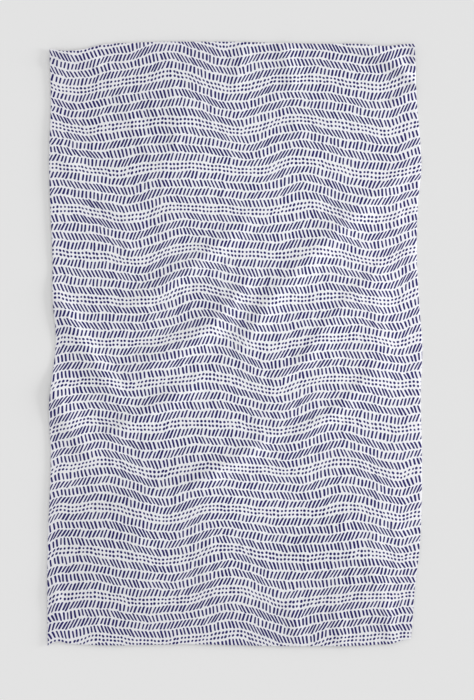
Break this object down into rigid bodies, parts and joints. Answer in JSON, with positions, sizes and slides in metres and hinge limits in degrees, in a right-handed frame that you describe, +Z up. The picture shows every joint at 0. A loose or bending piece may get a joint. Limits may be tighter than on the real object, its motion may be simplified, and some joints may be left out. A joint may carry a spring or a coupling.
{
  "type": "tea towel",
  "caption": "Hemless tea towel lying flat with soft diagonal creases, white cloth with short dark blue strokes printed in waved rows.",
  "frame": {"origin": "on the resting surface, under the middle of the towel's bounding box", "axes": "+X across the towel, +Y along its length, +Z up from the surface"},
  "size_m": [0.4626, 0.7457, 0.0118],
  "materials": {
    "printed_cloth": "matt plain weave, printed with dark blue strokes"
  },
  "bodies": {
    "root": {"cloth": "printed_cloth"}
  },
  "joints": []
}
